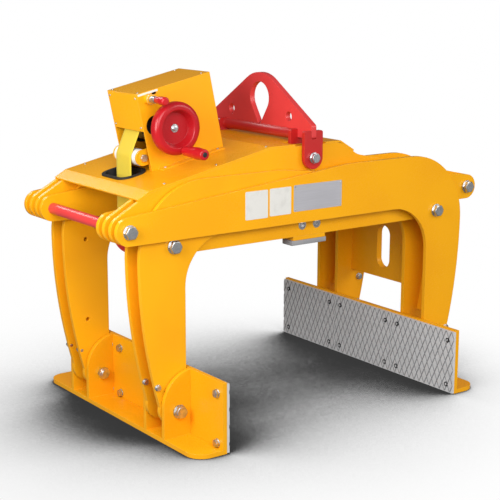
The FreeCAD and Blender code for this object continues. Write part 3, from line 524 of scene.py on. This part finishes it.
def jawLining(arm, look):
    # three ribbed sections side by side, each held by four sunk bolts
    body = "jaw_" + arm
    node = body + "_pad"
    low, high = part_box(node)
    side = 1 if arm == "a" else -1
    face, back = (low.x, high.x) if side > 0 else (high.x, low.x)
    rise, seam, groove = metres(look["rise"], look["seam"], look["groove"])
    floor = face + side * rise
    long = (high.y - low.y) / look["sections"]
    pitchY = long / look["columns"]
    pitchZ = (high.z - low.z) / look["rows"]
    share = 1.0 - groove * math.hypot(1.0 / pitchY, 1.0 / pitchZ)
    halfY, halfZ = pitchY / 2 * share, pitchZ / 2 * share
    midZ = (low.z + high.z) / 2
    shape = bmesh.new()
    for section in range(look["sections"]):
        first = low.y + section * long + seam / 2
        last = low.y + (section + 1) * long - seam / 2
        corners = ((first, low.z), (last, low.z), (last, high.z), (first, high.z))
        addSlab(shape, [Vector((back, y, z)) for y, z in corners], (-side, 0, 0), abs(floor - back))
        limits = ((0, first, False), (0, last, True), (1, low.z, False), (1, high.z, True))
        for column in range(int(look["columns"] * 2) + 1):
            for row in range(-look["rows"] - 1, look["rows"] + 2):
                if (column + row) % 2:
                    continue
                y = low.y + section * long + column * pitchY / 2
                z = midZ + row * pitchZ / 2
                rim = [(y + halfY, z), (y, z + halfZ), (y - halfY, z), (y, z - halfZ)]
                for axis, limit, below in limits:
                    rim = clipped(rim, axis, limit, below) if len(rim) > 2 else rim
                if len(rim) > 2:
                    addDiamond(shape, rim, floor, face, look["taper"])
    lining = addPiece("jawLining_" + arm, shape, finishes["grip_rubber"], body, smooth=20.0)
    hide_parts(node)
    bolts = bmesh.new()
    nuts = bmesh.new()
    radius, proud, reach = metres(look["boltRadius"], look["boltProud"], look["boltReach"])
    nutFlat, nutHigh, washerThick = metres(look["nutFlat"], look["nutHigh"], look["washerThick"])
    washer = nutFlat * look["washerShare"]
    plateLow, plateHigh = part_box("jaw_" + arm + "_plate")
    behind = plateHigh.x if side > 0 else plateLow.x
    for section in range(look["sections"]):
        middle = low.y + (section + 0.5) * long
        for y in (middle - reach, middle + reach):
            for z in metres(*look["boltRows"]):
                addScrew(bolts, (floor, y, z), (-side, 0, 0), radius, rise + proud, y * 7)
                addHexHead(nuts, (behind, y, z), (side, 0, 0), nutFlat, nutHigh, y * 5, washer, washerThick)
    addPiece("liningBolts_" + arm, bolts, finishes["dark_steel"], body)
    addPiece("liningNuts_" + arm, nuts, finishes["zinc"], body)


for arm in ("a", "b"):
    jawLining(arm, padLook)
print("jaw linings made")


# load stop pads: blocks with rounded edges
stopPadLook = {"round": 2.2, "steps": 3}


def stopPads(look):
    low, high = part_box("load_stop_pads")
    shape = bmesh.new()
    wide = high.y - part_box("frame_plate_back_inner")[0].y
    for side in (-1, 1):
        near, far = (high.y - wide, high.y) if side > 0 else (low.y, low.y + wide)
        made = bmesh.ops.create_cube(shape, size=1.0)
        for vert in made["verts"]:
            vert.co = Vector((low.x if vert.co.x < 0 else high.x, near if vert.co.y < 0 else far,
                              low.z if vert.co.z < 0 else high.z))
    bmesh.ops.bevel(shape, geom=list(shape.edges), offset=look["round"] / 1000.0, segments=look["steps"],
                    affect="EDGES", profile=0.5)
    pads = addPiece("stopPads", shape, finishes["stop_rubber"], "frame")
    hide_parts("load_stop_pads")


stopPads(stopPadLook)


# load stop bolts: low heads with hexagon sockets, so that the arm plates pass over them
stopBoltLook = {"shank": 7.0, "washer": 12.9, "washerThick": 0.6, "head": 9.8, "socket": 4.6,
                "socketDeep": 4.0, "spin": (0.05, 0.65)}


def stopBolts(look):
    low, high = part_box("load_stop_bolts")
    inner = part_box("frame_plate_back_inner")[0].y
    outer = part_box("frame_plate_back_outer")[1].y
    tall = high.y - outer
    midZ = (low.z + high.z) / 2
    apart = high.x - (high.z - low.z) / 2
    names = ("shank", "washer", "washerThick", "head", "socket", "socketDeep")
    shank, washer, thick, head, socket, deep = metres(*(look[name] for name in names))

    def headRings(start, way):
        # from the socket's floor over the head and washer to the shank
        floor, top, seat = start + way * (tall - deep), start + way * tall, start + way * thick
        return [(socket * 0.2, floor), hexRing(socket, floor), hexRing(socket, top), (head * 0.78, top),
                (head, start + way * tall * 0.62), (head, seat), (washer, seat), (washer, start),
                (shank, start)]

    # each bolt is one closed turning from the head inside to the head outside
    rings = headRings(0.0, -1) + headRings(outer - inner, 1)[::-1]
    shape = bmesh.new()
    for side in (-1, 1):
        for turn, spin in zip((-1, 1), look["spin"]):
            turnRings(shape, rings, facing((turn * apart, side * inner, midZ), (0, side, 0), spin))
    bolts = addPiece("stopBolts", shape, finishes["zinc"], "frame")
    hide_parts("load_stop_bolts")


stopBolts(stopBoltLook)


# bail bar, welded between the hangers and into the foot of the lifting plate
barLook = {"radius": 16.2, "drop": 3.0, "bead": 3.2}


def bailBar(look):
    low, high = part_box("bail_bar")
    radius, drop, bead = metres(look["radius"], look["drop"], look["bead"])
    long = high.y - low.y
    # each end swells into its weld bead
    beadShares = ((1.0, 0.0), (0.72, 0.34), (0.3, 0.72), (0.0, 1.2))
    swell = [(radius + bead * out, bead * along) for out, along in beadShares]
    rings = swell + [(size, long - along) for size, along in swell[::-1]]
    shape = bmesh.new()
    spot = facing(((low.x + high.x) / 2, low.y, (low.z + high.z) / 2 - drop), (0, 1, 0))
    turnRings(shape, rings, spot, count=48)
    bar = addPiece("bailBar", shape, shadedRed, "bail", smooth=50.0)
    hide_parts("bail_bar")


bailBar(barLook)


# webbing
strapLook = {"halfWidth": 37.3, "thick": 2.7, "edgeRound": 1.2, "columns": 8, "lift": 0.5, "webThick": 3.0,
             "rollTurns": 8, "rollThick": 2.4, "rollCore": 20.2, "turnSteps": 36}


def arcPoints(x, z, radius, start, end, steps):
    points = []
    for step in range(steps + 1):
        angle = start + (end - start) * step / steps
        points.append((x + radius * math.cos(angle), z + radius * math.sin(angle)))
    return points


def linePoints(start, end, steps):
    return [(start[0] + (end[0] - start[0]) * step / steps, start[1] + (end[1] - start[1]) * step / steps)
            for step in range(steps + 1)]


def ribbon(name, path, look, body):
    # flat band along a path of (x, z) points, with round edges and a weave map in metres
    halfWidth, thick, edge = metres(look["halfWidth"], look["thick"], look["edgeRound"])
    clean = [path[0]]
    for point in path[1:]:
        if math.dist(point, clean[-1]) > 1e-5:
            clean.append(point)
    section = []
    columns = look["columns"]
    for index in range(columns + 1):
        section.append((-halfWidth + edge + (halfWidth - edge) * 2 * index / columns, thick / 2))
    section.append((halfWidth, thick * 0.2))
    section.append((halfWidth, -thick * 0.2))
    for index in range(columns + 1):
        section.append((halfWidth - edge - (halfWidth - edge) * 2 * index / columns, -thick / 2))
    section.append((-halfWidth, -thick * 0.2))
    section.append((-halfWidth, thick * 0.2))
    shape = bmesh.new()
    weave = shape.loops.layers.uv.new("weave")
    rings = []
    along = 0.0
    for index, (x, z) in enumerate(clean):
        before = clean[max(index - 1, 0)]
        after = clean[min(index + 1, len(clean) - 1)]
        run = math.dist(before, after)
        normal = (-(after[1] - before[1]) / run, (after[0] - before[0]) / run)
        along += math.dist(before, (x, z)) if index else 0.0
        ring = [shape.verts.new((x + normal[0] * t, y, z + normal[1] * t)) for y, t in section]
        rings.append((along, ring))
    count = len(section)
    for (lowAlong, low), (highAlong, high) in zip(rings, rings[1:]):
        for index in range(count):
            after = (index + 1) % count
            made = shape.faces.new((low[index], low[after], high[after], high[index]))
            corners = ((index, lowAlong), (after, lowAlong), (after, highAlong), (index, highAlong))
            for loop, (corner, length) in zip(made.loops, corners):
                loop[weave].uv = (section[corner][0], length)
    shape.faces.new(rings[0][1][::-1])
    shape.faces.new(rings[-1][1])
    return addPiece(name, shape, finishes["webbing"], body, smooth=50.0)


def strapPieces(look):
    half = look["thick"] / 2000.0
    rollLow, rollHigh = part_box("strap_roll")
    rollX, rollZ = (rollLow.x + rollHigh.x) / 2, (rollLow.z + rollHigh.z) / 2
    rollRadius = (rollHigh.x - rollLow.x) / 2
    guideLow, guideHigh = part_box("guide_roller")
    guideX, guideZ = (guideLow.x + guideHigh.x) / 2, (guideLow.z + guideHigh.z) / 2
    guideRadius = (guideHigh.x - guideLow.x) / 2
    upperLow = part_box("strap_upper")[0]
    lowerLow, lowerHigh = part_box("strap_lower")
    # from the roll over the guide roller and down
    span = math.dist((rollX, rollZ), (guideX, guideZ))
    toward = math.atan2(rollZ - guideZ, rollX - guideX)
    touch = toward + math.acos((guideRadius - rollRadius) / span)
    lift = half + look["lift"] / 1000.0  # middle of the band over what it lies on
    leave = (rollX + (rollRadius + lift) * math.cos(touch), rollZ + (rollRadius + lift) * math.sin(touch))
    meet = (guideX + (guideRadius + lift) * math.cos(touch), guideZ + (guideRadius + lift) * math.sin(touch))
    path = linePoints(leave, meet, steps=16)
    path += arcPoints(guideX, guideZ, guideRadius + lift, touch, math.pi, steps=12)
    down = guideX - guideRadius - lift
    path += linePoints((down, guideZ), (down, upperLow.z), steps=16)
    upper = ribbon("strapUpper", path, look, "frame")
    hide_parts("strap_upper")
    # the loop below, from the sheave on; it is attached to no body
    sheaveLow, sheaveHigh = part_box("strap_sheave")
    sheaveX, sheaveZ = (sheaveLow.x + sheaveHigh.x) / 2, (sheaveLow.z + sheaveHigh.z) / 2
    reach = (lowerHigh.x - lowerLow.x) / 2 - look["webThick"] / 1000.0 + lift
    path = linePoints((sheaveX - reach, upperLow.z), (sheaveX - reach, sheaveZ), steps=24)
    path += arcPoints(sheaveX, sheaveZ, reach, math.pi, 2 * math.pi, steps=24)
    path += linePoints((sheaveX + reach, sheaveZ), (sheaveX + reach, lowerHigh.z), steps=24)
    lower = ribbon("strapLower", path, look, None)
    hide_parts("strap_lower")
    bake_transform(lower)
    # the turns on the spool
    core = look["rollCore"] / 1000.0 + half
    steps = look["rollTurns"] * look["turnSteps"]
    path = []
    for step in range(steps + 1):
        angle = -2 * math.pi * step / look["turnSteps"]
        radius = core + (rollRadius - half - core) * step / steps
        path.append((rollX + radius * math.cos(angle), rollZ + radius * math.sin(angle)))
    roll = ribbon("strapTurns", path, dict(look, thick=look["rollThick"]), "winch_wheel")
    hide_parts("strap_roll")
    print("strap loop from", round(lowerHigh.z, 4), "to", round(lowerLow.z, 4))


strapPieces(strapLook)
print("webbing made")


# housing and deck screws
housing = {"slope": 12.2, "startX": -410.0, "high": 208.0, "halfY": 75.0, "sheet": 3.0}


def onDeck(u, v):
    slope = math.radians(housing["slope"])
    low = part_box("winch_front")[0]
    x = housing["startX"] / 1000.0 + (u * math.cos(slope) - v * math.sin(slope)) / 1000.0
    z = low.z + (u * math.sin(slope) + v * math.cos(slope)) / 1000.0
    return x, z


screwLook = {"radius": 3.0, "high": 1.9, "panel": ((64.0, 196.0), (64.0, 118.0)),
             "baseU": (35.0, 205.0), "baseOut": 11.0, "baseGrow": (1.25, 1.2),
             "coverU": (10.0, 211.0), "coverY": 64.0,
             "deckX": (-455.0, -297.0, -137.0), "deckY": 205.0, "deckGrow": 1.1}


def housingScrews(look):
    slope = math.radians(housing["slope"])
    along = (math.cos(slope), 0.0, math.sin(slope))
    up = (-math.sin(slope), 0.0, math.cos(slope))
    left = (-along[0], 0.0, -along[2])
    radius, high = metres(look["radius"], look["high"])
    baseY, coverY, deckY = metres(housing["halfY"] + look["baseOut"], look["coverY"], look["deckY"])
    wider, taller = look["baseGrow"]
    shape = bmesh.new()
    for y, v in look["panel"]:
        for side in (-1, 1):
            x, z = onDeck(0.0, v)
            addScrew(shape, (x, side * y / 1000.0, z), left, radius, high, v)
    for side in (-1, 1):
        for u in look["baseU"]:
            x, z = onDeck(u, housing["sheet"])
            addScrew(shape, (x, side * baseY, z), up, radius * wider, high * taller, u)
        for u in look["coverU"]:
            x, z = onDeck(u, housing["high"])
            addScrew(shape, (x, side * coverY, z), up, radius, high, u)
        for x in look["deckX"]:
            deck = (x - housing["startX"]) / math.cos(slope)
            deckX, deckZ = onDeck(deck, 0.0)
            addScrew(shape, (deckX, side * deckY, deckZ), up, radius * look["deckGrow"], high, x)
    addPiece("sheetScrews", shape, finishes["zinc"], "frame")


housingScrews(screwLook)


# bare plates on the front arm
plateLook = {"white": ((-237.0, -164.0, 558.5, 633.5), (-158.0, -87.0, 560.5, 634.5)),
             "silver": (-78.0, 88.0, 564.0, 636.0), "thick": 0.6, "round": 4.0, "bevel": 0.15, "rivetIn": 5.0,
             "rivet": ((2.0, 0.0), (1.9, 0.6), (1.2, 1.0), (0.4, 1.1))}


def barePlates(look):
    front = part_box("arm_a_front_outer")[0].y
    thick, corner, bevel = metres(look["thick"], look["round"], look["bevel"])
    white = bmesh.new()
    silver = bmesh.new()
    for shape, box in [(white, box) for box in look["white"]] + [(silver, look["silver"])]:
        x0, x1, z0, z1 = metres(*box)
        corners = [Vector((x, front, z)) for x, z in ((x0, z0), (x1, z0), (x1, z1), (x0, z1))]
        addSlab(shape, corners, (0, -1, 0), thick, corner, bevel=bevel)
    rivets = bmesh.new()
    inward = look["rivetIn"]
    x0, x1, z0, z1 = look["silver"]
    for x in (x0 + inward, x1 - inward):
        for z in (z0 + inward, z1 - inward):
            spot = facing((x / 1000.0, front - thick, z / 1000.0), (0, -1, 0))
            turnRings(rivets, [metres(*ring) for ring in look["rivet"]], spot, count=16)
    addPiece("bareWhitePlates", white, bareWhite, "arm_a")
    addPiece("bareSilverPlate", silver, bareSilver, "arm_a")
    addPiece("plateRivets", rivets, finishes["zinc"], "arm_a")


barePlates(plateLook)


# hub bolt, handle screw and the bolts under the tie plate
hubLook = {"flat": 6.2, "high": 5.0, "washer": 11.2, "washerThick": 1.8, "spin": 0.2}
tieLook = {"flat": 8.5, "high": 7.0, "washer": 11.0, "washerThick": 1.8, "spin": 0.4, "x": 505.0, "z": 229.0}
handleLook = {"radius": 6.8, "high": 1.6, "spin": 0.3}


def frontEnd(box):
    # middle of the front face
    low, high = box
    return (low.x + high.x) / 2, low.y, (low.z + high.z) / 2


def hexHead(shape, place, outward, look):
    flat, high, washer, thick = metres(look["flat"], look["high"], look["washer"], look["washerThick"])
    addHexHead(shape, place, outward, flat, high, look["spin"], washer, thick)


def smallParts():
    shape = bmesh.new()
    hexHead(shape, frontEnd(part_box("winch_shaft")), (0, -1, 0), hubLook)
    addPiece("hubBolt", shape, finishes["zinc"], "winch_wheel")
    radius, high = metres(handleLook["radius"], handleLook["high"])
    shape = bmesh.new()
    addScrew(shape, frontEnd(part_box("crank_handle")), (0, -1, 0), radius, high, handleLook["spin"])
    addPiece("handleScrew", shape, finishes["dark_steel"], "crank")
    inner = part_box("arm_a_back_inner")[0].y
    x, z = metres(tieLook["x"], tieLook["z"])
    shape = bmesh.new()
    for side in (-1, 1):
        hexHead(shape, (x, side * inner, z), (0, -side, 0), tieLook)
    addPiece("tieBolts", shape, finishes["zinc"], "arm_a")


# collar of the pull plunger, and a white strip on the housing: a painted highlight along its top front edge
winchLook = {"highlightStrip": ((2.5, 201.0), (64.0, 206.5)), "stripThick": 0.5, "stripRound": 1.2, "stripBevel": 0.12,
             "collarGrow": 0.25, "collarDeep": 17.0, "collarRound": 1.2, "collarBore": 9.5}


def winchFront(look):
    lockLow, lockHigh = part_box("lock_housing")
    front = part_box("winch_cover")[0].y - housing["sheet"] / 1000.0
    middle = ((lockLow.x + lockHigh.x) / 2, front, (lockLow.z + lockHigh.z) / 2)
    grow, lip, bore = metres(look["collarGrow"], look["collarRound"], look["collarBore"])
    radius = (lockHigh.x - lockLow.x) / 2 + grow
    deep = look["collarDeep"] / 1000.0 + grow
    shape = bmesh.new()
    rings = [(radius, 0.0), (radius, deep - lip), (radius - lip, deep), (bore, deep)]
    turnRings(shape, rings, facing(middle, (0, -1, 0)), count=40)
    addPiece("lockCollar", shape, finishes["yellow_paint"], "frame")
    # a thin white strip just below the top front edge stands for a painted highlight
    (u0, v0), (u1, v1) = look["highlightStrip"]
    corners = []
    for u, v in ((u0, v0), (u1, v0), (u1, v1), (u0, v1)):
        x, z = onDeck(u, v)
        corners.append(Vector((x, front, z)))
    thick, corner, bevel = metres(look["stripThick"], look["stripRound"], look["stripBevel"])
    shape = bmesh.new()
    addSlab(shape, corners, (0, -1, 0), thick, corner, steps=4, bevel=bevel)
    addPiece("paintedHighlightStrip", shape, bareWhite, "frame")


winchFront(winchLook)
smallParts()
print("small parts made")


# studio: pale floor, white background, broad soft light
studio = {"world": 0.30, "mirrored": 0.10, "floor": 0.24, "floorGrain": 0.02, "grain": 300.0,
          "tiles": 4, "tileSize": 3.0, "floorDrop": 0.0004, "target": (0.0, 0.0, 0.45),
          "unmirrored": ("back",),
          "lamps": {"key": ((-1.6, -3.8, 2.3), 108.0, 2.4), "left": ((-1.6, -0.5, 1.05), 19.5, 0.9),
                    "fill": ((2.4, -3.4, 1.9), 56.0, 2.0), "rim": ((-0.75, 3.45, 2.75), 26.0, 1.1),
                    "back": ((2.4, 3.6, 0.45), 32.0, 1.4)},
          "fadeStart": 0.80, "fadeEnd": 2.0, "shadowReach": 1.2, "shadowLean": 0.06,
          "hangStart": 0.99, "hangEnd": 0.94,
          "shadow": ((0.40, 0.04), (0.56, 0.045), (0.62, 0.19), (0.69, 0.53), (0.79, 0.80), (0.88, 0.96),
                     (0.95, 1.0))}


def hangLamp(name, look):
    place, power, size = look["lamps"][name]
    lamp = bpy.data.lights.new(name + "Lamp", "AREA")
    lamp.energy = power
    lamp.size = size
    holder = bpy.data.objects.new(name + "Lamp", lamp)
    holder.location = place
    holder.rotation_euler = (Vector(look["target"]) - Vector(place)).to_track_quat("-Z", "Y").to_euler()
    holder.visible_camera = False
    holder.visible_glossy = name not in look["unmirrored"]
    bpy.context.scene.collection.objects.link(holder)


def makeSky(look):
    sky = Finish("softStudio", "worlds")
    bpy.context.scene.world = sky.material
    seen = sky.node("ShaderNodeLightPath", {}, {}, "Is Camera Ray")
    shiny = sky.node("ShaderNodeLightPath", {}, {}, "Is Glossy Ray")
    clear = sky.node("ShaderNodeLightPath", {}, {}, "Is Transmission Ray")
    dim = look["world"] + shiny * (look["mirrored"] - look["world"])
    strength = dim.most(seen.most(clear))
    shader = sky.node("ShaderNodeBackground", {}, {"Color": (1.0, 1.0, 1.0, 1.0), "Strength": strength})
    sky.node("ShaderNodeOutputWorld", {}, {"Surface": shader})


def makeFloor(look):
    shape = bmesh.new()
    lines = [step * look["tileSize"] for step in range(-look["tiles"], look["tiles"] + 1)]
    rows = [[shape.verts.new((x, y, 0.0)) for x in lines] for y in lines]
    for low, high in zip(rows, rows[1:]):
        for index in range(len(lines) - 1):
            shape.faces.new((low[index], low[index + 1], high[index + 1], high[index]))
    mesh = bpy.data.meshes.new("studioFloor")
    shape.to_mesh(mesh)
    shape.free()
    floor = bpy.data.objects.new("studioFloor", mesh)
    floor.location = (0.0, 0.0, -look["floorDrop"])
    bpy.context.scene.collection.objects.link(floor)
    mesh.materials.append(shadedPaper(look))


def shadedPaper(look):
    paper = Finish("studioPaper")
    place = paper.where()
    far = paper.node("ShaderNodeVectorMath", {"operation": "LENGTH"}, {0: place}, "Value")
    fade = paper.between(far, look["fadeStart"], look["fadeEnd"])
    grain = paper.cloud(place, look["grain"], 2.0)
    light, dark = look["floor"], look["floor"] - look["floorGrain"]
    shade = paper.tint(grain, opaque((light,) * 3), opaque((dark,) * 3))
    matte = paper.node("ShaderNodeBsdfDiffuse", {}, {"Color": shade})
    # the soft shadow: how much of the sky the object hides from each spot
    reach = {"Distance": look["shadowReach"]}
    bare = paper.node("ShaderNodeAmbientOcclusion", {"samples": 24}, reach, "AO")
    lit = bare + paper.axes(place)[0] * look["shadowLean"]
    stops = [(stop, opaque((grey,) * 3)) for stop, grey in look["shadow"]]
    grey = paper.node("ShaderNodeValToRGB", {"stops": stops}, {0: lit})
    # it fades where something hangs below the floor's level
    under = paper.node("ShaderNodeAmbientOcclusion", {"samples": 16, "inside": True}, reach, "AO")
    lifted = paper.between(under, look["hangStart"], look["hangEnd"])
    pale = paper.tint(fade.most(lifted), grey, (1.0, 1.0, 1.0, 1.0))
    # the white world shows through the shaded paper, and so does a leg that swings below it
    veil = paper.node("ShaderNodeBsdfTransparent", {}, {"Color": pale})
    camera = paper.node("ShaderNodeLightPath", {}, {}, "Is Camera Ray")
    below = paper.node("ShaderNodeNewGeometry", {}, {}, "Backfacing")
    mixed = paper.node("ShaderNodeMixShader", {}, {0: camera.most(below), 1: matte, 2: veil})
    paper.node("ShaderNodeOutputMaterial", {}, {"Surface": mixed})
    return paper.material


makeSky(studio)
for lampName in studio["lamps"]:
    hangLamp(lampName, studio)
makeFloor(studio)


# camera as the photograph saw it
cameraLook = {"place": (-2115.3, -2856.1, 1183.0), "aside": 36.01, "down": 12.34, "roll": 0.13,
              "focal": 1257.6, "picture": 500.0, "sensor": 36.0, "clipEnd": 60.0}


def makeCamera(look):
    aside, down, roll = (math.radians(look[name]) for name in ("aside", "down", "roll"))
    ahead = Vector((math.sin(aside) * math.cos(down), math.cos(aside) * math.cos(down), -math.sin(down)))
    level = Vector((math.cos(aside), -math.sin(aside), 0.0))
    above = level.cross(ahead)
    right = level * math.cos(roll) + above * math.sin(roll)
    up = above * math.cos(roll) - level * math.sin(roll)
    camera = bpy.data.objects.new("photoCamera", bpy.data.cameras.new("photoCamera"))
    camera.data.sensor_width = look["sensor"]
    camera.data.lens = look["focal"] * look["sensor"] / look["picture"]
    camera.data.clip_end = look["clipEnd"]
    turn = Matrix((right, up, -ahead)).transposed()
    camera.matrix_world = Matrix.Translation(Vector(metres(*look["place"]))) @ turn.to_4x4()
    bpy.context.scene.collection.objects.link(camera)
    bpy.context.scene.camera = camera


makeCamera(cameraLook)
bpy.context.scene.view_settings.view_transform = "Standard"
print("studio and camera set")

bpy.context.view_layer.update()
